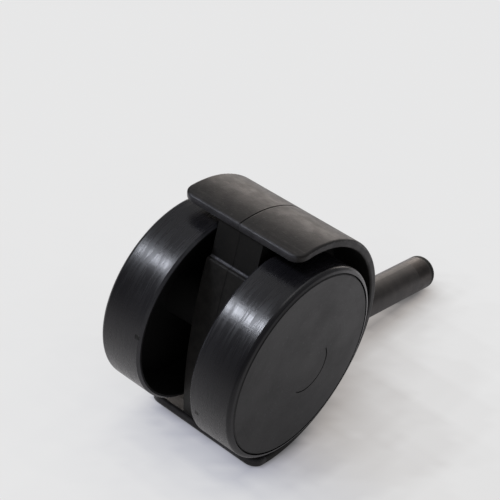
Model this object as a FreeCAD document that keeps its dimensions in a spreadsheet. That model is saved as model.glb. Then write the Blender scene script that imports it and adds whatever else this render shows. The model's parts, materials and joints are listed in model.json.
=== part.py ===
import FreeCAD, Part
import os

import Sketcher

# Twin-wheel chair caster with a one-piece hooded housing and a plain grip stem.
# Row frame: origin on the stem axis at the stem's shoulder, +Z up along the stem, axle along Y.
# The housing, axle and wheels are drawn about the axle's centre and then moved to their place.

# alias, millimetres (or degrees), meaning
DIMENSIONS = [
    ("wheel_radius", 25.0, "tread radius"),
    ("swivel_offset", 14.2, "stem axis to axle, measured along X"),
    ("shoulder_height", 36.6, "axle to the stem's shoulder, measured along Z"),
    ("hood_outer", 30.85, "hood outer radius about the axle"),
    ("hood_wall", 2.15, "hood wall thickness"),
    ("hood_half_width", 17.4, "half of the hood's width"),
    ("hood_front_angle", 16.4, "degrees below +X where the front lip ends"),
    ("hood_rear_angle", 188.7, "degrees from +X, over the top, to the rear lip"),
    ("hood_corner", 3.2, "corner radius of both lips"),
    ("hood_edge_round", 0.65, "rounding of the hood's edges"),
    ("web_half", 6.5, "half thickness of the web between the wheels"),
    ("web_top_face", 7.1, "depth of the web's upper front face below the axle"),
    ("web_ledge_x", 17.7, "place of the ledge across the web's front face"),
    ("web_low_face", 8.6, "depth of the lower front face at the ledge"),
    ("web_end_face", 3.6, "depth of the lower front face at the rear lip"),
    ("web_bow", 139.0, "radius of the lower front face"),
    ("web_edge_round", 0.5, "rounding of the ledge"),
    ("neck_radius", 7.3, "neck that holds the stem's bush"),
    ("neck_bottom", 3.0, "lower end of the neck above the axle"),
    ("socket_floor", 4.6, "floor of the stem's socket above the axle"),
    ("stem_radius", 4.76, "stem above its shoulder"),
    ("stem_length", 50.8, "stem above its shoulder, whole length"),
    ("stem_tip_round", 1.4, "rounding of the stem's tip"),
    ("flange_radius", 7.0, "flange under the shoulder"),
    ("flange_thickness", 2.0, "flange thickness"),
    ("journal_radius", 4.0, "stem inside its bush"),
    ("stem_foot", 31.0, "shoulder to the stem's lower end"),
    ("grip_bottom", 42.6, "shoulder to the grip ring"),
    ("grip_height", 5.5, "grip ring height"),
    ("grip_wall", 0.8, "grip ring thickness"),
    ("grip_slot", 1.2, "slot in the grip ring"),
    ("keeper_bottom", 28.6, "shoulder down to the retaining ring's lower face"),
    ("keeper_height", 1.0, "retaining ring height"),
    ("keeper_inner", 3.4, "retaining ring inner radius"),
    ("keeper_outer", 4.6, "retaining ring outer radius"),
    ("keeper_groove", 2.8, "floor radius of the retaining ring's groove"),
    ("groove_play", 0.1, "groove height beyond its ring's height"),
    ("bush_wall", 0.96, "wall of the swivel bush and of the hub bushes"),
    ("running_gap", 0.04, "radial clearance of a shaft in its bush"),
    ("face_gap", 0.05, "clearance between faces that turn against each other"),
    ("swivel_play", 0.2, "stem play between bush and retaining ring"),
    ("thrust_washer_thickness", 1.0, "washer under the stem's flange"),
    ("axle_radius", 3.0, "axle radius"),
    ("axle_half", 18.2, "half of the axle's length"),
    ("axle_groove", 2.4, "floor radius of the axle's clip grooves"),
    ("axle_chamfer", 0.3, "chamfer of the axle's ends and the stem's foot"),
    ("clip_inner_face", 16.6, "mid-plane to the clip"),
    ("clip_thickness", 0.5, "clip thickness"),
    ("clip_outer", 4.7, "clip outer radius"),
    ("clip_slot", 1.6, "slot in the clip"),
    ("washer_outer", 5.5, "axle washer outer radius"),
    ("washer_thickness", 0.8, "axle washer thickness"),
    ("hub_radius", 6.0, "wheel hub radius at its inner end"),
    ("hub_root", 6.4, "wheel hub radius at the wheel's disc"),
    ("hub_outer_face", 16.5, "mid-plane to the outer end of the hub's bore"),
    ("rim_edge", 7.8, "mid-plane to the rim's open edge"),
    ("rim_chamfer", 0.6, "chamfer between tread and rim edge"),
    ("rim_inner", 23.9, "rim inner radius at its open edge"),
    ("rim_root", 23.1, "rim inner radius at the wheel's disc"),
    ("disc_inner_face", 16.8, "mid-plane to the disc's inner face"),
    ("cover_seat", 18.7, "mid-plane to the face that the cover rests on"),
    ("lip_start", 19.2, "mid-plane to the end of the tread"),
    ("lip_middle", 19.8, "mid-plane to the middle of the sloping lip"),
    ("lip_middle_radius", 24.45, "radius of the middle of the sloping lip"),
    ("lip_face", 20.05, "mid-plane to the top of the wheel's lip"),
    ("lip_round", 0.7, "rounding of the lip's slopes"),
    ("lip_inner", 23.75, "radius inside the lip"),
    ("clip_pocket", 5.5, "pocket radius round the axle's end"),
    ("cover_radius", 23.5, "wheel cover radius"),
    ("cover_face", 20.1, "mid-plane to the cover's outer face"),
    ("cover_chamfer", 0.3, "chamfer round the cover's face"),
    ("cover_line", 6.3, "radius of the fine curved line on the cover"),
    ("cover_line_x", -2.2, "centre of that line from the axle, along X"),
    ("cover_line_z", 3.35, "centre of that line from the axle, along Z"),
    ("cover_line_width", 0.34, "width of that line"),
    ("cover_line_depth", 0.2, "depth of that line"),
    ("cover_line_front", 38.0, "degrees of that line on the +X side of its centre's +Z direction"),
    ("cover_line_rear", 118.0, "degrees of that line on the -X side"),
    ("parting_width", 0.24, "width of the hood's parting line"),
    ("parting_depth", 0.14, "depth of the hood's parting line"),
    ("parting_below", 30.0, "degrees of the parting line below the axle's height"),
    ("parting_above_front", 101.0, "degrees of the parting line above it, in front of the neck"),
    ("parting_above_rear", 44.0, "degrees of the parting line above it, behind the neck"),
    ("spigot_outer", 5.46, "cover spigot outer radius"),
    ("spigot_wall", 0.9, "cover spigot wall"),
    ("spigot_length", 1.3, "cover spigot length"),
]

SIDES = (("left", "-1"), ("right", "1"))

# Millimetres within which two places are taken as the same, and a length as no longer than another.
SAME_PLACE = 0.001
SAME_LENGTH = 0.01

doc = FreeCAD.newDocument("chair_caster_wheel")


def make_sheet():
    """The driving dimensions, one row each."""
    sheet = doc.addObject("Spreadsheet::Sheet", "dims")
    for row, (alias, size, meaning) in enumerate(DIMENSIONS, start=1):
        sheet.set(f"A{row}", meaning)
        sheet.set(f"B{row}", str(size))
        sheet.setAlias(f"B{row}", alias)
    doc.recompute()
    return sheet


sheet = make_sheet()


def named(formula):
    """A formula over the aliases, with each alias written as a cell of the sheet."""
    words = formula.replace("(", " ( ").replace(")", " ) ").split()
    aliases = {alias for alias, _, _ in DIMENSIONS}
    return " ".join("dims." + word if word in aliases else word for word in words)


def size_of(formula):
    return float(sheet.evalExpression(named(formula)))


def new_body(label, about_axle):
    """An empty body: about the axle's centre where about_axle is true, else about the shoulder."""
    body = doc.addObject("PartDesign::Body", label)
    body.Label = label
    if about_axle:
        body.setExpression("Placement.Base.x", named("swivel_offset"))
        body.setExpression("Placement.Base.z", named("0 - shoulder_height"))
    return body


def origin_plane(body, role):
    return next(item for item in body.Origin.OriginFeatures if item.Role == role)


def new_sketch(body, name, plane):
    sketch = body.newObject("Sketcher::SketchObject", name)
    sketch.AttachmentSupport = [(origin_plane(body, plane), "")]
    sketch.MapMode = "FlatFace"
    return sketch


def bind(sketch, kind, references, formula):
    """A constraint whose size comes from the sheet."""
    index = sketch.addConstraint(Sketcher.Constraint(kind, *references, size_of(formula)))
    sketch.setExpression(f"Constraints[{index}]", named(formula))


def outline(body, name, plane, corners):
    """A closed polygon whose corners are placed by pairs of formulas."""
    sketch = new_sketch(body, name, plane)
    places = [FreeCAD.Vector(size_of(across), size_of(along), 0) for across, along in corners]
    count = len(places)
    for index, place in enumerate(places):
        sketch.addGeometry(Part.LineSegment(place, places[(index + 1) % count]), False)
    for index, (across, along) in enumerate(corners):
        sketch.addConstraint(Sketcher.Constraint("Coincident", index, 2, (index + 1) % count, 1))
        bind(sketch, "DistanceX", (-1, 1, index, 1), across)
        bind(sketch, "DistanceY", (-1, 1, index, 1), along)
    return sketch


def turned(body, name, plane, corners):
    """A solid of revolution about the sketch's vertical axis, from (radius, height) corners."""
    sketch = outline(body, name + "_profile", plane, corners)
    solid = body.newObject("PartDesign::Revolution", name)
    solid.Profile = sketch
    solid.ReferenceAxis = (sketch, ["V_Axis"])
    doc.recompute()
    return solid


def tube(inner, outer, low, high):
    """The (radius, height) corners of a plain ring or bush."""
    return [(inner, low), (outer, low), (outer, high), (inner, high)]


def cut_slot(body, name, plane, width, reach, low, high):
    """A slot from the axis outward along the sketch's first axis, between two heights."""
    sketch = outline(body, name + "_profile", plane,
                     [("0", low), (reach, low), (reach, high), ("0", high)])
    slot = body.newObject("PartDesign::Pocket", name)
    slot.Profile = sketch
    slot.SideType = "Symmetric"
    slot.setExpression("Length", named(width))
    doc.recompute()
    return slot


def edges_where(shape, wanted):
    """Names of the edges that a test accepts."""
    return [f"Edge{index}" for index, edge in enumerate(shape.Edges, start=1) if wanted(edge)]


def circle_edges(shape, radius, height, axis):
    """Names of the circular edges of one radius at one height along an axis."""
    def wanted(edge):
        if not isinstance(edge.Curve, Part.Circle):
            return False
        right_size = abs(edge.Curve.Radius - radius) < SAME_PLACE
        return right_size and abs(edge.Curve.Center.dot(axis) - height) < SAME_PLACE
    return edges_where(shape, wanted)


def dress(body, kind, name, base, edges, size):
    """A fillet or chamfer on named edges of the body's last feature."""
    feature = body.newObject("PartDesign::" + kind, name)
    feature.Base = (base, edges)
    feature.setExpression("Radius" if kind == "Fillet" else "Size", named(size))
    doc.recompute()
    return feature


AXLE_AXIS = FreeCAD.Vector(0, 1, 0)
STEM_AXIS = FreeCAD.Vector(0, 0, 1)
NECK_TOP = "shoulder_height - flange_thickness - face_gap - thrust_washer_thickness"


def make_hood(body):
    """The curved shell over both wheels, with rounded lips and edges."""
    inner = "hood_outer - hood_wall"
    corners = [(inner, "0 - hood_half_width"), ("hood_outer", "0 - hood_half_width"),
               ("hood_outer", "hood_half_width"), (inner, "hood_half_width")]
    sketch = outline(body, "hood_profile", "XY_Plane", corners)
    hood = body.newObject("PartDesign::Revolution", "hood")
    hood.Profile = sketch
    hood.ReferenceAxis = (sketch, ["V_Axis"])
    hood.Type = "TwoAngles"
    hood.setExpression("Angle", named("hood_front_angle"))
    hood.setExpression("Angle2", named("hood_rear_angle"))
    doc.recompute()

    def across_wall(edge):
        return edge.Length < size_of("hood_wall") + SAME_LENGTH
    rounded = dress(body, "Fillet", "lip_corners", hood, edges_where(hood.Shape, across_wall),
                    "hood_corner")

    def along_wall(edge):
        return edge.Length > size_of("hood_wall") + SAME_LENGTH
    return dress(body, "Fillet", "hood_edges", rounded, edges_where(rounded.Shape, along_wall),
                 "hood_edge_round")


def make_web(body):
    """The web between the wheels: hood to lips, with a ledge across its front face."""
    sketch = new_sketch(body, "web_profile", "XZ_Plane")
    reach = size_of("hood_outer - hood_wall / 2")
    top = -size_of("web_top_face")
    low = -size_of("web_low_face")
    end = -size_of("web_end_face")
    ledge = size_of("web_ledge_x")
    front = FreeCAD.Vector((reach ** 2 - top ** 2) ** 0.5, top, 0)
    rear = FreeCAD.Vector(-(reach ** 2 - end ** 2) ** 0.5, end, 0)
    ledge_top = FreeCAD.Vector(ledge, top, 0)
    ledge_foot = FreeCAD.Vector(ledge, low, 0)
    half_chord = (rear - ledge_foot) / 2
    sagitta = size_of("web_bow") - (size_of("web_bow") ** 2 - half_chord.Length ** 2) ** 0.5
    outward = FreeCAD.Vector(-half_chord.y, half_chord.x, 0).normalize()
    bow = ledge_foot + half_chord + outward * sagitta
    sketch.addGeometry(Part.LineSegment(front, ledge_top), False)
    sketch.addGeometry(Part.LineSegment(ledge_top, ledge_foot), False)
    sketch.addGeometry(Part.Arc(ledge_foot, bow, rear), False)
    sketch.addGeometry(Part.Arc(rear, FreeCAD.Vector(0, reach, 0), front), False)
    ends = [(0, front), (1, ledge_top), (2, ledge_foot), (3, rear)]
    for index, _ in ends:
        following = (index + 1) % len(ends)
        sketch.addConstraint(Sketcher.Constraint("Coincident", index, other_end(sketch, index, ends),
                                                 following, start_of(sketch, following, ends)))
    sketch.addConstraint(Sketcher.Constraint("Coincident", 3, 3, -1, 1))
    bind(sketch, "Radius", (3,), "hood_outer - hood_wall / 2")
    bind(sketch, "Radius", (2,), "web_bow")
    bind(sketch, "DistanceY", (-1, 1, 0, 1), "0 - web_top_face")
    bind(sketch, "DistanceX", (-1, 1, 1, 1), "web_ledge_x")
    bind(sketch, "DistanceY", (-1, 1, 1, 1), "0 - web_top_face")
    bind(sketch, "DistanceX", (-1, 1, 1, 2), "web_ledge_x")
    bind(sketch, "DistanceY", (-1, 1, 1, 2), "0 - web_low_face")
    bind(sketch, "DistanceY", (-1, 1, 3, start_of(sketch, 3, ends)), "0 - web_end_face")
    web = body.newObject("PartDesign::Pad", "web")
    web.Profile = sketch
    web.SideType = "Symmetric"
    web.setExpression("Length", named("2 * web_half"))
    doc.recompute()
    return web


def start_of(sketch, index, ends):
    """Which end of a curve, 1 or 2, lies at the place where the outline reaches it."""
    place = ends[index][1]
    return 1 if sketch.getPoint(index, 1).distanceToPoint(place) < SAME_PLACE else 2


def other_end(sketch, index, ends):
    """The other end of that curve."""
    return 3 - start_of(sketch, index, ends)


def make_cylinder(body, kind, name, plane, centre, radius, height):
    """An additive or subtractive cylinder standing on a plane of the body's origin."""
    cylinder = body.newObject(f"PartDesign::{kind}Cylinder", name)
    cylinder.AttachmentSupport = [(origin_plane(body, plane), "")]
    cylinder.MapMode = "FlatFace"
    for axis, formula in zip("xyz", centre):
        cylinder.setExpression(f"AttachmentOffset.Base.{axis}", named(formula))
    cylinder.setExpression("Radius", named(radius))
    cylinder.setExpression("Height", named(height))
    doc.recompute()
    return cylinder


def cut_parting_line(body, name, sign, front_angle, rear_angle):
    """A fine groove round the hood's middle, on the +X or -X side of the neck."""
    floor = f"{sign} * ( hood_outer - parting_depth )"
    above = f"{sign} * ( hood_outer + parting_depth )"
    low, high = "0 - parting_width / 2", "parting_width / 2"
    sketch = outline(body, name + "_profile", "XY_Plane",
                     [(floor, low), (above, low), (above, high), (floor, high)])
    cut_turned(body, name, sketch, "V_Axis", front_angle, rear_angle)


def make_housing():
    """Hood, web and neck in one moulding, with the stem's socket and the axle's bore."""
    body = new_body("housing", True)
    make_hood(body)
    web = make_web(body)

    def on_ledge(edge):
        box = edge.BoundBox
        at_ledge = abs(box.XMax - size_of("web_ledge_x")) < SAME_LENGTH
        return at_ledge and box.XLength < SAME_LENGTH and box.YLength > size_of("web_half")
    dress(body, "Fillet", "ledge_round", web, edges_where(web.Shape, on_ledge), "web_edge_round")
    make_cylinder(body, "Additive", "neck", "XY_Plane", ("0 - swivel_offset", "0", "neck_bottom"),
                  "neck_radius", f"{NECK_TOP} - neck_bottom")
    make_cylinder(body, "Subtractive", "socket", "XY_Plane",
                  ("0 - swivel_offset", "0", "socket_floor"), "journal_radius + running_gap + bush_wall",
                  "shoulder_height")
    make_cylinder(body, "Subtractive", "axle_bore", "XZ_Plane", ("0", "0", "0 - hood_half_width"),
                  "axle_radius", "2 * hood_half_width")
    cut_parting_line(body, "front_parting_line", "1", "parting_below", "parting_above_front")
    cut_parting_line(body, "rear_parting_line", "-1", "parting_above_rear", "parting_below")
    return body


def make_stem():
    """Plain steel stem: tip, grip ring groove, flange, journal and retaining ring groove."""
    body = new_body("stem", False)
    keeper_low = "0 - keeper_bottom - groove_play / 2"
    keeper_high = "keeper_height - keeper_bottom + groove_play / 2"
    grip_high = "grip_bottom + grip_height"
    stem = turned(body, "stem_solid", "XZ_Plane", [
        ("0", "0 - stem_foot"), ("journal_radius", "0 - stem_foot"),
        ("journal_radius", keeper_low), ("keeper_groove", keeper_low),
        ("keeper_groove", keeper_high), ("journal_radius", keeper_high),
        ("journal_radius", "0 - flange_thickness"), ("flange_radius", "0 - flange_thickness"),
        ("flange_radius", "0"), ("stem_radius", "0"),
        ("stem_radius", "grip_bottom"), ("stem_radius - grip_wall", "grip_bottom"),
        ("stem_radius - grip_wall", grip_high), ("stem_radius", grip_high),
        ("stem_radius", "stem_length"), ("0", "stem_length")])
    tip = circle_edges(stem.Shape, size_of("stem_radius"), size_of("stem_length"), STEM_AXIS)
    dress(body, "Fillet", "stem_tip", stem, tip, "stem_tip_round")
    foot = circle_edges(body.Shape, size_of("journal_radius"), -size_of("stem_foot"), STEM_AXIS)
    dress(body, "Chamfer", "stem_lead", body.Tip, foot, "axle_chamfer")
    return body


def make_stem_fittings():
    """The rings, bush and washer round the stem."""
    grip = new_body("stem_grip_ring", False)
    grip_high = "grip_bottom + grip_height"
    turned(grip, "grip_solid", "XZ_Plane",
           tube("stem_radius - grip_wall", "stem_radius", "grip_bottom", grip_high))
    cut_slot(grip, "grip_gap", "XZ_Plane", "grip_slot", "0 - flange_radius", "grip_bottom", grip_high)
    keeper = new_body("stem_retaining_ring", False)
    keeper_low = "0 - keeper_bottom"
    keeper_high = "keeper_height - keeper_bottom"
    turned(keeper, "keeper_solid", "XZ_Plane",
           tube("keeper_inner", "keeper_outer", keeper_low, keeper_high))
    cut_slot(keeper, "keeper_gap", "XZ_Plane", "clip_slot", "flange_radius", keeper_low, keeper_high)
    bush = new_body("swivel_bush", False)
    bush_inner = "journal_radius + running_gap"
    neck_top = "0 - flange_thickness - face_gap - thrust_washer_thickness"
    turned(bush, "bush_solid", "XZ_Plane",
           tube(bush_inner, f"{bush_inner} + bush_wall", f"{keeper_high} + swivel_play", neck_top))
    washer = new_body("thrust_washer", False)
    turned(washer, "washer_solid", "XZ_Plane",
           tube(f"{bush_inner} + running_gap", "flange_radius", neck_top,
                "0 - flange_thickness - face_gap"))
    return [grip, keeper, bush, washer]


def make_axle():
    """The axle, pressed through the web, with a clip groove near each end."""
    body = new_body("axle", True)
    low = "clip_inner_face"
    high = "clip_inner_face + clip_thickness"
    half = [("axle_radius", low), ("axle_groove", low), ("axle_groove", high),
            ("axle_radius", high), ("axle_radius", "axle_half"), ("0", "axle_half")]
    mirrored = [(radius, f"0 - ( {height} )") for radius, height in reversed(half)]
    axle = turned(body, "axle_solid", "XY_Plane", mirrored + half)
    rims = []
    for end in (-1, 1):
        rims += circle_edges(axle.Shape, size_of("axle_radius"), end * size_of("axle_half"), AXLE_AXIS)
    dress(body, "Chamfer", "axle_ends", axle, rims, "axle_chamfer")
    return body


def sided(sign, corners):
    """Corners of a right-hand profile, put on the side that sign names."""
    return [(radius, f"{sign} * ( {height} )") for radius, height in corners]


def make_wheel(side, sign):
    """A cup-shaped wheel, open towards the web, with its hub, tread, lip and cover seat."""
    body = new_body(f"wheel_{side}", True)
    bore = "axle_radius + running_gap + bush_wall"
    hub_end = "web_half + washer_thickness + face_gap"
    wheel = turned(body, f"wheel_{side}_solid", "XY_Plane", sided(sign, [
        (bore, hub_end), ("hub_radius", hub_end), ("hub_root", "disc_inner_face"),
        ("rim_root", "disc_inner_face"), ("rim_inner", "rim_edge"),
        ("wheel_radius - rim_chamfer", "rim_edge"), ("wheel_radius", "rim_edge + rim_chamfer"),
        ("wheel_radius", "lip_start"), ("lip_middle_radius", "lip_middle"),
        ("lip_inner", "lip_face"), ("lip_inner", "cover_seat"),
        ("clip_pocket", "cover_seat"), ("clip_pocket", "hub_outer_face"), (bore, "hub_outer_face")]))
    lip = []
    for radius, height in (("wheel_radius", "lip_start"), ("lip_middle_radius", "lip_middle")):
        lip += circle_edges(wheel.Shape, size_of(radius), size_of(f"{sign} * {height}"), AXLE_AXIS)
    dress(body, "Fillet", f"wheel_{side}_lip", wheel, lip, "lip_round")
    return body


def make_wheel_cover(side, sign):
    """The flat disc in the wheel's outer face, with a fine curved line and a spigot behind."""
    body = new_body(f"wheel_cover_{side}", True)
    spigot_end = "cover_seat - spigot_length"
    cover = turned(body, f"cover_{side}_solid", "XY_Plane", sided(sign, [
        ("0", "cover_seat"), ("spigot_outer - spigot_wall", "cover_seat"),
        ("spigot_outer - spigot_wall", spigot_end), ("spigot_outer", spigot_end),
        ("spigot_outer", "cover_seat"), ("cover_radius", "cover_seat"),
        ("cover_radius", "cover_face"), ("0", "cover_face")]))
    height = size_of(f"{sign} * cover_face")
    rim = circle_edges(cover.Shape, size_of("cover_radius"), height, AXLE_AXIS)
    dress(body, "Chamfer", f"cover_{side}_rim", cover, rim, "cover_chamfer")
    cut_cover_line(body, side, sign)
    return body


def cut_cover_line(body, side, sign):
    """The curved line: a shallow groove over part of a circle set off from the axle."""
    low, high = "cover_line - cover_line_width / 2", "cover_line + cover_line_width / 2"
    floor = f"{sign} * ( cover_face - cover_line_depth )"
    above = f"{sign} * ( cover_face + cover_line_depth )"
    sketch = outline(body, f"cover_{side}_line_profile", "YZ_Plane",
                     [(floor, low), (above, low), (above, high), (floor, high)])
    sketch.setExpression("AttachmentOffset.Base.y", named("cover_line_z"))
    sketch.setExpression("AttachmentOffset.Base.z", named("cover_line_x"))
    cut_turned(body, f"cover_{side}_line", sketch, "H_Axis", "cover_line_front", "cover_line_rear")


def cut_turned(body, name, sketch, axis, first_angle, second_angle):
    """A groove turned both ways from its sketch, which must take some material away."""
    before = body.Shape.Volume
    groove = body.newObject("PartDesign::Groove", name)
    groove.Profile = sketch
    groove.ReferenceAxis = (sketch, [axis])
    groove.Type = "TwoAngles"
    groove.setExpression("Angle", named(first_angle))
    groove.setExpression("Angle2", named(second_angle))
    doc.recompute()
    if body.Shape.Volume >= before:
        raise RuntimeError(f"{name} cuts nothing")


def make_wheel_fittings(side, sign):
    """The hub bush, the washer against the web and the clip on the axle's end."""
    bush = new_body(f"hub_bush_{side}", True)
    inner = "axle_radius + running_gap"
    washer_end = "web_half + washer_thickness"
    turned(bush, f"hub_bush_{side}_solid", "XY_Plane",
           sided(sign, tube(inner, f"{inner} + bush_wall", f"{washer_end} + face_gap",
                            "hub_outer_face")))
    washer = new_body(f"axle_washer_{side}", True)
    turned(washer, f"axle_washer_{side}_solid", "XY_Plane",
           sided(sign, tube(inner, "washer_outer", "web_half", washer_end)))
    clip = new_body(f"axle_clip_{side}", True)
    low = f"{sign} * clip_inner_face"
    high = f"{sign} * ( clip_inner_face + clip_thickness )"
    turned(clip, f"axle_clip_{side}_solid", "XY_Plane",
           tube("axle_groove", "clip_outer", low, high))
    cut_slot(clip, f"axle_clip_{side}_gap", "XY_Plane", "clip_slot", "hub_radius", low, high)
    return [bush, washer, clip]


def check_and_write(bodies):
    """Stops on any failed object, then writes one file per sub-part."""
    doc.recompute()
    for item in doc.Objects:
        if "Invalid" in item.State or "Error" in item.State:
            raise RuntimeError(f"{item.Name} failed: {item.State}")
    os.makedirs("parts", exist_ok=True)
    for body in bodies:
        shape = body.Shape
        if shape.isNull() or not shape.isValid() or len(shape.Solids) != 1:
            raise RuntimeError(f"{body.Label} has no single valid solid")
        shape.exportStep(f"parts/{body.Label}.step")
        print(f"{body.Label}: {shape.Volume:.1f} mm3")


bodies = [make_housing(), make_stem(), make_axle()] + make_stem_fittings()
for side, sign in SIDES:
    bodies += [make_wheel(side, sign), make_wheel_cover(side, sign)]
    bodies += make_wheel_fittings(side, sign)
check_and_write(bodies)
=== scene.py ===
import json
import math

import bpy
from mathutils import Matrix, Vector
from mathutils.bvhtree import BVHTree


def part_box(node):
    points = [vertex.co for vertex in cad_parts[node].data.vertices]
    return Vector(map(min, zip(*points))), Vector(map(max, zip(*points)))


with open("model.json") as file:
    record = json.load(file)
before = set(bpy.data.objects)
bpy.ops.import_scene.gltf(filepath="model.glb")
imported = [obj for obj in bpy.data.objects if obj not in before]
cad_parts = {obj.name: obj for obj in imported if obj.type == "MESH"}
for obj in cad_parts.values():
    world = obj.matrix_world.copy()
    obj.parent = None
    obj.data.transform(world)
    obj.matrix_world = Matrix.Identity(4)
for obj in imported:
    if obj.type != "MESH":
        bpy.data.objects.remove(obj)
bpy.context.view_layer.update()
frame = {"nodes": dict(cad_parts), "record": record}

MM = 0.001


def joint_place(name):
    """Where a joint of the record is, in metres."""
    joints = frame["record"]["behaviour"]["joints"]
    return Vector(next(joint["pos_m"] for joint in joints if joint["name"] == name))


AXLE = joint_place("wheel_right_spin")


# ----------------------------------------------------------------------- nodes

# Where a Mix node keeps its factor and its two colours, and the mixed colour.
MIX_COLOUR_INPUTS = (0, 6, 7)
MIX_COLOUR_OUTPUT = 2


class Nodes:
    """A node tree, with short calls for the nodes used here."""

    def __init__(self, tree):
        self.tree = tree

    def node(self, kind, **settings):
        made = self.tree.nodes.new(kind)
        for name, setting in settings.items():
            setattr(made, name, setting)
        return made

    def feed(self, socket, value):
        if isinstance(value, bpy.types.NodeSocket):
            self.tree.links.new(value, socket)
        else:
            socket.default_value = value

    def feed_all(self, made, values, output=0):
        """Feed a node's first inputs in order, and give back one of its outputs."""
        for socket, value in zip(made.inputs, values):
            self.feed(socket, value)
        return made.outputs[output]

    def math(self, operation, *values):
        return self.feed_all(self.node("ShaderNodeMath", operation=operation), values)

    def vector_math(self, operation, *values, output="Vector"):
        return self.feed_all(self.node("ShaderNodeVectorMath", operation=operation), values, output)

    def join(self, *values):
        return self.feed_all(self.node("ShaderNodeCombineXYZ"), values)

    def split(self, vector):
        made = self.node("ShaderNodeSeparateXYZ")
        self.feed(made.inputs[0], vector)
        return list(made.outputs)

    def plus(self, first, second):
        return self.math("ADD", first, second)

    def times(self, first, *others):
        for other in others:
            first = self.math("MULTIPLY", first, other)
        return first

    def inverse(self, share):
        return self.math("SUBTRACT", 1.0, share)

    def ramp(self, value, low, high, out_low=0.0, out_high=1.0, kind="SMOOTHSTEP"):
        """A value from one range, stepped smoothly or in a straight line to another."""
        made = self.node("ShaderNodeMapRange", interpolation_type=kind)
        for name, setting in (("Value", value), ("From Min", low), ("From Max", high),
                              ("To Min", out_low), ("To Max", out_high)):
            self.feed(made.inputs[name], setting)
        return made.outputs[0]

    def fall(self, value, low, high):
        """1 up to the low value, 0 from the high value on."""
        return self.ramp(value, low, high, 1.0, 0.0)

    def near_zero(self, value, inner, outer):
        """1 within the inner distance of zero, 0 from the outer distance on."""
        return self.fall(self.math("ABSOLUTE", value), inner, outer)

    def noise(self, place, scale, detail=3.0, roughness=0.55):
        made = self.node("ShaderNodeTexNoise")
        for name, value in (("Vector", place), ("Scale", scale), ("Detail", detail),
                            ("Roughness", roughness)):
            self.feed(made.inputs[name], value)
        return made.outputs["Fac"]

    def stretched_noise(self, parts, stretch, detail=3.0, roughness=0.55):
        """Noise with its own scale along each of a place's three parts."""
        scaled = self.join(*(self.times(part, scale) for part, scale in zip(parts, stretch)))
        return self.noise(scaled, 1.0, detail, roughness)

    def mix(self, factor, first, second):
        made = self.node("ShaderNodeMix", data_type="RGBA")
        for index, value in zip(MIX_COLOUR_INPUTS, (factor, first, second)):
            self.feed(made.inputs[index], value)
        return made.outputs[MIX_COLOUR_OUTPUT]

    def layers(self, colour, *over):
        """Layers of (share, colour) laid over a colour, one after the other."""
        for share, layer in over:
            colour = self.mix(share, colour, layer)
        return colour

    def closure(self, kind, **inputs):
        made = self.node(kind)
        for name, value in inputs.items():
            self.feed(made.inputs[name], value)
        return made.outputs[0]

    def mix_closures(self, factor, first, second):
        return self.feed_all(self.node("ShaderNodeMixShader"), (factor, first, second))


class Shader(Nodes):
    """A new material's nodes."""

    def __init__(self, name):
        self.material = bpy.data.materials.new(name)
        self.material.use_nodes = True
        super().__init__(self.material.node_tree)
        self.surface = self.tree.nodes["Principled BSDF"]

    def place(self):
        """The point on the surface, in the frame's own metres."""
        return self.node("ShaderNodeTexCoord").outputs["Object"]

    def round_about(self, centre, axis):
        """Unrolled place round an axis: (turn in radians, place along the axis, radius)."""
        parts = self.split(self.vector_math("SUBTRACT", self.place(), centre))
        along = parts.pop("XYZ".index(axis))
        first, second = parts
        turn = self.math("ARCTAN2", second, first)
        squares = self.plus(self.times(first, first), self.times(second, second))
        return turn, along, self.math("SQRT", squares)

    def bump(self, height, distance, strength=1.0, below=None):
        made = self.node("ShaderNodeBump")
        self.feed(made.inputs["Height"], height)
        self.feed(made.inputs["Distance"], distance)
        self.feed(made.inputs["Strength"], strength)
        if below is not None:
            self.feed(made.inputs["Normal"], below)
        return made.outputs[0]

    def edge_wear(self, low, high):
        """How much an outer edge sticks out, from 0 to 1."""
        return self.ramp(self.node("ShaderNodeNewGeometry").outputs["Pointiness"], low, high)

    def finish(self, colour, roughness, normal, metallic=0.0, specular=0.5):
        for name, value in (("Base Color", colour), ("Roughness", roughness), ("Normal", normal),
                            ("Metallic", metallic), ("Specular IOR Level", specular)):
            self.feed(self.surface.inputs[name], value)
        return self.material


# ------------------------------------------------------------------- materials

# Places on the parts, each as where a change starts and ends.
SEAM_EDGE = (0.05 * MM, 0.22 * MM)             # from the hood's middle plane
HOOD_INSIDE_EDGE = (28.2 * MM, 28.7 * MM)      # radius about the axle
LIP_EDGE = (-0.272, -0.256)                    # turn about the axle of the hood's front lip
LEDGE_X = AXLE.x + 17.5 * MM
LEDGE_Z = AXLE.z - 7.25 * MM
LEDGE_REACH_X = (0.35 * MM, 0.75 * MM)
LEDGE_REACH_Z = (0.25 * MM, 0.6 * MM)
CUP_RADIUS_EDGE = (24.0 * MM, 24.2 * MM)       # inside of a wheel
CUP_DEPTH_EDGE = (18.6 * MM, 18.9 * MM)
RIM_PLACE_EDGE = (8.2 * MM, 8.6 * MM)          # a wheel's rim beside the web
RIM_RADIUS_EDGE = (24.3 * MM, 24.5 * MM)
STEM_TIP_EDGE = (48.0 * MM, 49.0 * MM)
TREAD_DENTS = {"left": (0.3, -8.9, -25.0), "right": (-9.8, 10.3, -23.0)}   # mm from the axle
DENT_EDGE = (0.20 * MM, 0.34 * MM)

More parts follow.
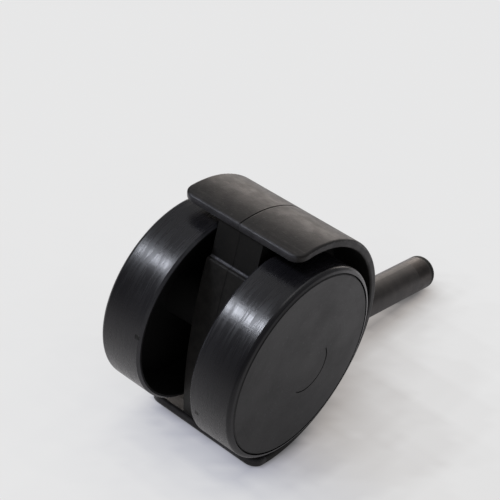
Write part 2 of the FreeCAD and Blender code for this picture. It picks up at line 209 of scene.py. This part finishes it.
# Colours, linear.
HOOD_DARK, HOOD_LIGHT = (0.0066, 0.0062, 0.0060, 1), (0.0145, 0.0126, 0.0114, 1)
HOOD_RUBBED, HOOD_SPECK = (0.075, 0.068, 0.062, 1), (0.060, 0.054, 0.049, 1)
# The second colour on the next line is painted shade for the hood's inside.
HOOD_SEAM, HOOD_INSIDE_SHADE = (0.004, 0.004, 0.004, 1), (0.0085, 0.0085, 0.0080, 1)
# Painted highlight colour, laid on the hood's front lip and ledge.
HOOD_PAINTED_HIGHLIGHT = (0.105, 0.105, 0.118, 1)
TREAD_CLEAN, TREAD_SCUFFED = (0.0062, 0.0058, 0.0078, 1), (0.018, 0.0175, 0.021, 1)
WHEEL_EDGE, WHEEL_CUP = (0.03, 0.03, 0.034, 1), (0.015, 0.015, 0.0148, 1)
# The first colour on the next line is a painted highlight for the rim beside the web.
WHEEL_RIM_HIGHLIGHT, WHEEL_DENT = (0.050, 0.050, 0.056, 1), (0.0015, 0.0015, 0.0015, 1)
COVER_DARK, COVER_LIGHT = (0.0055, 0.0055, 0.0058, 1), (0.0095, 0.0095, 0.0098, 1)
COVER_SPECK = (0.048, 0.048, 0.050, 1)
PLATING_DARK, PLATING_LIGHT = (0.030, 0.0265, 0.0245, 1), (0.050, 0.044, 0.040, 1)
# Painted shade for the stem's rounded tip.
PLATING_TIP_SHADE = (0.0060, 0.0074, 0.0050, 1)
SPRING_STEEL = ((0.035, 0.031, 0.029, 1), (0.075, 0.068, 0.063, 1))
BRIGHT_STEEL = ((0.42, 0.42, 0.42, 1), (0.60, 0.60, 0.59, 1))
WHITE_ACETAL = ((0.62, 0.61, 0.57, 1), (0.74, 0.73, 0.69, 1))
BLACK_ACETAL = ((0.012, 0.012, 0.012, 1), (0.024, 0.024, 0.024, 1))


def housing_nylon():
    """Moulded nylon: fine grain, mottled dull sheen, rubbed edges, a parting line; painted highlight
    on the lip and ledge, painted shade inside.
    """
    shader = Shader("housing_nylon")
    place = shader.place()
    x, y, z = shader.split(place)
    turn, _, radius = shader.round_about(AXLE, "Y")
    cloud = shader.noise(place, 170.0, 6.0, 0.62)
    sheen = shader.noise(place, 320.0, 6.0, 0.65)
    rubbed = shader.noise(place, 420.0, 5.0, 0.7)
    grain = shader.noise(place, 2600.0, 2.0)
    specks = shader.ramp(shader.noise(place, 1300.0, 2.0), 0.62, 0.72)
    seam = shader.near_zero(y, *SEAM_EDGE)
    inside = shader.fall(radius, *HOOD_INSIDE_EDGE)
    wear = shader.times(shader.edge_wear(0.53, 0.60), shader.ramp(rubbed, 0.3, 0.7),
                        shader.ramp(inside, 0.0, 1.0, 1.0, 0.5))
    # Painted highlight: the front lip and a line along the ledge are lighter, bluer and glossier,
    # broken up by the rubbed noise.
    lip = shader.times(shader.fall(turn, *LIP_EDGE), shader.inverse(inside),
                       shader.ramp(rubbed, 0.25, 0.65, 0.45, 1.0))
    ledge = shader.times(shader.near_zero(shader.plus(x, -LEDGE_X), *LEDGE_REACH_X),
                         shader.near_zero(shader.plus(z, -LEDGE_Z), *LEDGE_REACH_Z),
                         shader.ramp(rubbed, 0.3, 0.6, 0.4, 1.0))
    lip_and_ledge_highlight = shader.math("MAXIMUM", shader.times(lip, 0.45), ledge)
    # Inside the hood the colour is darkened towards a painted shade tone.
    colour = shader.layers(shader.mix(shader.ramp(cloud, 0.35, 0.7), HOOD_DARK, HOOD_LIGHT),
                           (wear, HOOD_RUBBED), (shader.times(specks, 0.4), HOOD_SPECK),
                           (shader.times(seam, 0.75), HOOD_SEAM),
                           (shader.times(inside, 0.6), HOOD_INSIDE_SHADE), (lip_and_ledge_highlight, HOOD_PAINTED_HIGHLIGHT))
    roughness = shader.plus(shader.ramp(sheen, 0.3, 0.7, 0.40, 0.53), shader.times(inside, 0.16))
    roughness = shader.math("SUBTRACT", roughness, shader.times(lip_and_ledge_highlight, 0.10))
    normal = shader.bump(grain, 0.05 * MM, 0.55)
    normal = shader.bump(shader.inverse(seam), 0.12 * MM, 1.0, normal)
    return shader.finish(colour, roughness, normal, specular=0.36)


def wheel_nylon(side):
    """Glossy moulded wheel: streaks and scuffs round the tread, a dent, a painted highlight along the
    rim, a dull cup.
    """
    shader = Shader(f"wheel_nylon_{side}")
    place = shader.place()
    _, along, radius = polar = shader.round_about(AXLE, "Y")
    lines = shader.stretched_noise(polar, (1.2, 3400.0, 400.0), 4.0, 0.6)
    ripples = shader.stretched_noise(polar, (42.0, 60.0, 60.0), 3.0, 0.5)
    streaks = shader.stretched_noise(polar, (3.0, 1250.0, 300.0), 3.0, 0.6)
    patches = shader.noise(place, 150.0, 4.0)
    ragged = shader.noise(place, 1600.0, 3.0)
    scuff = shader.times(shader.ramp(lines, 0.52, 0.74), shader.ramp(patches, 0.42, 0.68))
    cup = shader.times(shader.fall(radius, *CUP_RADIUS_EDGE),
                       shader.near_zero(along, *CUP_DEPTH_EDGE))
    # Painted highlight: a patchy lighter line along the wheel's rim beside the web.
    rim = shader.times(shader.near_zero(along, *RIM_PLACE_EDGE),
                       shader.ramp(radius, *RIM_RADIUS_EDGE),
                       shader.ramp(patches, 0.35, 0.6, 0.35, 1.0))
    dent_place = AXLE + Vector(TREAD_DENTS[side]) * MM
    off_dent = shader.vector_math("DISTANCE", place, dent_place, output="Value")
    dent = shader.fall(shader.times(off_dent, ragged), *DENT_EDGE)
    colour = shader.layers(TREAD_CLEAN, (scuff, TREAD_SCUFFED),
                           (shader.edge_wear(0.52, 0.60), WHEEL_EDGE),
                           (cup, WHEEL_CUP), (rim, WHEEL_RIM_HIGHLIGHT), (dent, WHEEL_DENT))
    roughness = shader.ramp(shader.plus(scuff, shader.times(patches, 0.4)), 0.1, 1.1, 0.21, 0.32)
    roughness = shader.plus(roughness, shader.ramp(streaks, 0.35, 0.7, 0.0, 0.13))
    roughness = shader.plus(roughness, shader.times(dent, 0.4))
    roughness = shader.math("MAXIMUM", roughness, shader.times(cup, 0.55))
    normal = shader.bump(lines, 0.006 * MM, 0.35)
    normal = shader.bump(ripples, 0.03 * MM, 0.35, normal)
    normal = shader.bump(streaks, 0.02 * MM, 0.3, normal)
    normal = shader.bump(shader.inverse(dent), 0.25 * MM, 1.0, normal)
    return shader.finish(colour, roughness, normal)


def cover_nylon(side):
    """Satin wheel cover with light specks and a faint swirl."""
    shader = Shader(f"cover_nylon_{side}")
    place = shader.place()
    polar = shader.round_about(AXLE, "Y")
    swirl = shader.stretched_noise(polar, (2.0, 1.0, 2400.0))
    cloud = shader.noise(place, 110.0, 5.0, 0.6)
    grain = shader.noise(place, 3200.0, 2.0)
    specks = shader.ramp(shader.noise(place, 1000.0, 3.0), 0.60, 0.72)
    colour = shader.layers(shader.mix(shader.ramp(cloud, 0.3, 0.75), COVER_DARK, COVER_LIGHT),
                           (shader.times(specks, 0.55), COVER_SPECK))
    roughness = shader.ramp(shader.plus(cloud, shader.times(swirl, 0.3)), 0.4, 1.0, 0.36, 0.52)
    normal = shader.bump(grain, 0.03 * MM, 0.35)
    return shader.finish(colour, roughness, shader.bump(swirl, 0.008 * MM, 0.4, normal))


def stem_plating():
    """Black-brown satin plating with fine turning lines, and painted shade over the duller tip."""
    shader = Shader("stem_plating")
    _, along, _ = polar = shader.round_about(Vector(), "Z")
    lines = shader.stretched_noise(polar, (0.8, 4200.0, 1.0))
    cloud = shader.noise(shader.place(), 260.0, 4.0)
    # Painted shade: the tip is darkened, and also made rougher.
    tip = shader.ramp(along, *STEM_TIP_EDGE)
    colour = shader.layers(shader.mix(shader.ramp(cloud, 0.3, 0.7), PLATING_DARK, PLATING_LIGHT),
                           (tip, PLATING_TIP_SHADE))
    roughness = shader.plus(shader.ramp(lines, 0.3, 0.7, 0.36, 0.48), shader.times(tip, 0.3))
    return shader.finish(colour, roughness, shader.bump(lines, 0.01 * MM, 0.5), metallic=0.35)


def turned_metal(name, dark, light, rough):
    """Bare turned or rolled metal."""
    shader = Shader(name)
    lines = shader.stretched_noise(shader.split(shader.place()), (300.0, 5200.0, 300.0))
    cloud = shader.noise(shader.place(), 500.0, 4.0)
    roughness = shader.ramp(lines, 0.3, 0.7, rough - 0.06, rough + 0.08)
    return shader.finish(shader.mix(cloud, dark, light), roughness,
                         shader.bump(lines, 0.008 * MM, 0.4), metallic=1.0)


def acetal(name, dark, light):
    """Smooth machined acetal."""
    shader = Shader(name)
    cloud = shader.noise(shader.place(), 400.0, 4.0)
    grain = shader.noise(shader.place(), 3600.0, 2.0)
    return shader.finish(shader.mix(cloud, dark, light), shader.ramp(grain, 0.3, 0.7, 0.30, 0.42),
                         shader.bump(grain, 0.01 * MM, 0.4))


def dress_nodes():
    """Give every CAD node its material."""
    spring = turned_metal("spring_steel", *SPRING_STEEL, rough=0.36)
    bright = turned_metal("bright_steel", *BRIGHT_STEEL, rough=0.28)
    white = acetal("white_acetal", *WHITE_ACETAL)
    black = acetal("black_acetal", *BLACK_ACETAL)
    finishes = {"housing": housing_nylon(), "stem": stem_plating(), "stem_grip_ring": spring,
                "stem_retaining_ring": spring, "swivel_bush": white, "thrust_washer": bright,
                "axle": bright}
    for side in ("left", "right"):
        finishes[f"wheel_{side}"] = wheel_nylon(side)
        finishes[f"wheel_cover_{side}"] = cover_nylon(side)
        finishes[f"hub_bush_{side}"] = white
        finishes[f"axle_washer_{side}"] = black
        finishes[f"axle_clip_{side}"] = spring
    for name, node in frame["nodes"].items():
        node.data.materials.clear()
        node.data.materials.append(finishes[name])


# ----------------------------------------------------------- how the part lies

TIP_ROUND = 1.4 * MM
TIP_RADIUS = 4.76 * MM - TIP_ROUND


def resting_tilt():
    """The stem's angle to a table under the hood and the stem's tip, and the hood's radius."""
    hood_low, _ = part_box("housing")
    _, stem_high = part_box("stem")
    hood_radius = AXLE.x - hood_low[0]
    tip_across = AXLE.x + TIP_RADIUS
    tip_up = stem_high[2] - AXLE.z - TIP_ROUND
    reach = math.hypot(tip_across, tip_up)
    return math.atan2(tip_up, tip_across) - math.acos((hood_radius - TIP_ROUND) / reach), hood_radius


TILT, HOOD_RADIUS = resting_tilt()
TABLE_UP = Vector((math.cos(TILT), 0.0, -math.sin(TILT)))
TABLE_ALONG = Vector((math.sin(TILT), 0.0, math.cos(TILT)))
TABLE_ACROSS = Vector((0.0, 1.0, 0.0))
TOUCH = AXLE - TABLE_UP * HOOD_RADIUS


def table_point(along, across):
    return TOUCH + TABLE_ALONG * along + TABLE_ACROSS * across


# --------------------------------------------------------- table, light, camera

# The window's direction and how it stands out of the sky, and how uneven the surround is.
WINDOW = Vector((0.659, -0.443, -0.608)).normalized()
WINDOW_GAIN, WINDOW_FOCUS = 4.0, 6
FAR_SIDE = (TABLE_ALONG * 0.88 - TABLE_ACROSS * 0.47).normalized()
SIDE_SHARE = 0.26

# The surround as the part sees it, by height: share of the way from straight down to straight up.
TABLE_GLOW = (0.83, 0.81, 0.83, 1)
LOW_GLOW = (0.24, 0.238, 0.245, 1)
SURROUND = ((0.25, TABLE_GLOW), (0.44, (0.42, 0.415, 0.42, 1)), (0.54, LOW_GLOW),
            (0.66, LOW_GLOW), (1.0, (0.58, 0.585, 0.595, 1)))
BACKDROP = (0.800, 0.800, 0.803, 1)

# The table sheet's grid, in metres from the point where the hood touches the table.
SHEET_STEP = 2.6 * MM
SHEET_ALONG, SHEET_ACROSS = (-0.125, 0.215), (-0.130, 0.165)
SHEET_FADE_ROWS = 10.0
SKY_WAYS = 56
SKY_REACH = 0.3
RAY_START = 0.05 * MM
SIDE_LENGTH = 90.0 * MM
WARMTH_LENGTH = 40.0 * MM

# What the darkest shadow leaves of the light, on its cold side, on its warm side and under the part.
SHADOW_COLD, SHADOW_WARM = (0.100, 0.131, 0.288, 1), (0.175, 0.125, 0.094, 1)
SHADOW_UNDER = (0.045, 0.044, 0.048, 1)
TABLE_IN_SHADOW = (0.03, 0.03, 0.032, 1)
SHADOW_CURVE, SHADOW_GAIN = 1.5, 1.12
REFLECTION_CURVE = 0.9

# Name, direction from the axle, distance, width and height in metres, power in watts, colour.
LIGHTS = (
    ("window", WINDOW, 0.95, 0.22, 0.14, 2.9, (0.86, 0.895, 1.0)),
    ("far_wall", Vector((0.27, -0.40, 0.85)), 1.0, 0.9, 0.32, 2.9, (1.0, 0.905, 0.84)),
    ("ceiling", Vector((0.97, 0.05, 0.05)), 1.0, 0.6, 0.6, 1.0, (1.0, 0.985, 0.97)),
    ("behind", Vector((-0.80, -0.62, 0.20)), 1.0, 0.8, 0.8, 7.0, (1.0, 0.985, 0.97)),
)

CAMERA_PLACE = AXLE + Vector((179.1, 155.4, -240.2)) * MM
CAMERA_LOOK = Vector((-0.4861, -0.4773, 0.7320))
CAMERA_UP = Vector((0.8494, -0.4551, 0.2672))
CAMERA_LENS = 103.4
CAMERA_CLIP_START = 0.01


def sky_directions(count):
    """Directions over the table, spread evenly for a soft sky, each with its share of the light."""
    directions = []
    golden = math.pi * (3.0 - math.sqrt(5.0))
    for index in range(count):
        height = math.sqrt((index + 0.5) / count)
        reach = math.sqrt(1.0 - height * height)
        turn = golden * index
        way = (TABLE_UP * height + TABLE_ALONG * (reach * math.cos(turn))
               + TABLE_ACROSS * (reach * math.sin(turn)))
        share = 1.0 + WINDOW_GAIN * max(0.0, way.dot(WINDOW)) ** WINDOW_FOCUS
        directions.append((way, share))
    return directions


def part_tree():
    """One search tree over every CAD node at rest."""
    corners, faces = [], []
    for node in frame["nodes"].values():
        start = len(corners)
        corners += [node.matrix_world @ vertex.co for vertex in node.data.vertices]
        faces += [[start + index for index in face.vertices] for face in node.data.polygons]
    return BVHTree.FromPolygons(corners, faces)


def make_shadow_sheet():
    """The part's soft shadow on the pale table: a clear sheet, darker where the sky is hidden."""
    rows = int((SHEET_ALONG[1] - SHEET_ALONG[0]) / SHEET_STEP)
    columns = int((SHEET_ACROSS[1] - SHEET_ACROSS[0]) / SHEET_STEP)
    tree = part_tree()
    directions = sky_directions(SKY_WAYS)
    total = sum(share for _, share in directions)
    places, shades, glows, warmths = [], [], [], []
    for row in range(rows + 1):
        for column in range(columns + 1):
            place = table_point(SHEET_ALONG[0] + row * SHEET_STEP,
                                SHEET_ACROSS[0] + column * SHEET_STEP)
            start = place + TABLE_UP * RAY_START
            hidden = sum(share for way, share in directions
                         if tree.ray_cast(start, way, SKY_REACH)[0])
            border = min(row, rows - row, column, columns - column) / SHEET_FADE_ROWS
            places.append(place)
            shades.append(hidden / total * min(1.0, border))
            side = (place - TOUCH).dot(FAR_SIDE) / SIDE_LENGTH
            glows.append(1.0 - SIDE_SHARE + SIDE_SHARE * max(-1.0, min(1.0, side)))
            warmths.append((place - TOUCH).dot(TABLE_ALONG) / WARMTH_LENGTH + 0.5)
    width = columns + 1
    faces = [(row * width + column, row * width + column + 1,
              (row + 1) * width + column + 1, (row + 1) * width + column)
             for row in range(rows) for column in range(columns)]
    mesh = bpy.data.meshes.new("shadow_sheet")
    mesh.from_pydata(places, [], faces)
    if mesh.polygons[0].normal.dot(TABLE_UP) < 0.0:
        mesh.flip_normals()
    for layer, values in (("shade", shades), ("glow", glows), ("warmth", warmths)):
        mesh.attributes.new(layer, "FLOAT", "POINT").data.foreach_set("value", values)
    sheet = bpy.data.objects.new("shadow_sheet", mesh)
    bpy.context.scene.collection.objects.link(sheet)
    sheet.visible_shadow = False
    mesh.materials.append(shadow_material())


def shadow_material():
    """Darkens what lies behind it for the camera, and stands in for the table in reflections."""
    shader = Shader("table_shadow")
    shade, glow, warmth = (shader.node("ShaderNodeAttribute", attribute_name=layer).outputs["Fac"]
                           for layer in ("shade", "glow", "warmth"))
    strength = shader.times(shader.math("POWER", shade, SHADOW_CURVE), SHADOW_GAIN)
    tint = shader.mix(shader.ramp(warmth, 0.0, 1.0), SHADOW_COLD, SHADOW_WARM)
    tint = shader.mix(shader.ramp(shade, 0.6, 0.9), tint, SHADOW_UNDER)
    filtered = shader.closure("ShaderNodeBsdfTransparent",
                              Color=shader.mix(strength, (1, 1, 1, 1), tint))
    reflected = shader.mix(shader.math("POWER", shade, REFLECTION_CURVE), TABLE_GLOW,
                           TABLE_IN_SHADOW)
    table = shader.closure("ShaderNodeEmission", Color=reflected, Strength=glow)
    to_camera = shader.node("ShaderNodeLightPath").outputs["Is Camera Ray"]
    from_below = shader.node("ShaderNodeNewGeometry").outputs["Backfacing"]
    above = shader.mix_closures(to_camera, table, filtered)
    both = shader.mix_closures(from_below, above, shader.closure("ShaderNodeBsdfTransparent"))
    output = next(node for node in shader.tree.nodes if node.type == "OUTPUT_MATERIAL")
    shader.feed(output.inputs["Surface"], both)
    shader.tree.nodes.remove(shader.surface)
    return shader.material


def make_world():
    """A plain backdrop for the camera. The part sees a bright table, dim walls and a pale ceiling."""
    world = bpy.data.worlds.new("pale_room")
    bpy.context.scene.world = world
    world.use_nodes = True
    nodes = Nodes(world.node_tree)
    nodes.tree.nodes.clear()
    way = nodes.node("ShaderNodeTexCoord").outputs["Generated"]
    height = nodes.vector_math("DOT_PRODUCT", way, TABLE_UP, output="Value")
    levels = nodes.node("ShaderNodeValToRGB")
    stops = levels.color_ramp.elements
    stops.remove(stops[0])
    stops[0].position, stops[0].color = SURROUND[0]
    for position, glow in SURROUND[1:]:
        stops.new(position).color = glow
    nodes.feed(levels.inputs[0], nodes.ramp(height, -1.0, 1.0, kind="LINEAR"))
    side = nodes.vector_math("DOT_PRODUCT", way, FAR_SIDE * SIDE_SHARE, output="Value")
    lit = nodes.closure("ShaderNodeBackground", Color=levels.outputs[0],
                        Strength=nodes.plus(side, 1.0 - SIDE_SHARE))
    seen = nodes.closure("ShaderNodeBackground", Color=BACKDROP)
    to_camera = nodes.node("ShaderNodeLightPath").outputs["Is Camera Ray"]
    output = nodes.node("ShaderNodeOutputWorld")
    nodes.feed(output.inputs["Surface"], nodes.mix_closures(to_camera, lit, seen))


def facing(place, target, up):
    """A rotation whose -Z points from place to target, with +Y towards up."""
    back = (place - target).normalized()
    right = up.cross(back).normalized()
    return Matrix((right, back.cross(right), back)).transposed().to_euler()


def make_lights():
    for name, way, distance, width, height, power, colour in LIGHTS:
        light = bpy.data.lights.new(name, "AREA")
        light.shape = "RECTANGLE"
        light.size, light.size_y = width, height
        light.energy = power
        light.color = colour
        lamp = bpy.data.objects.new(name, light)
        lamp.location = AXLE + way.normalized() * distance
        lamp.rotation_euler = facing(lamp.location, AXLE, TABLE_UP)
        bpy.context.scene.collection.objects.link(lamp)


def make_camera():
    data = bpy.data.cameras.new("camera")
    data.lens = CAMERA_LENS
    data.clip_start = CAMERA_CLIP_START
    camera = bpy.data.objects.new("camera", data)
    camera.location = CAMERA_PLACE
    camera.rotation_euler = facing(CAMERA_PLACE, CAMERA_PLACE + CAMERA_LOOK, CAMERA_UP)
    bpy.context.scene.collection.objects.link(camera)
    bpy.context.scene.camera = camera


bpy.context.scene.view_settings.view_transform = "Standard"
dress_nodes()
make_world()
make_lights()
make_camera()
make_shadow_sheet()
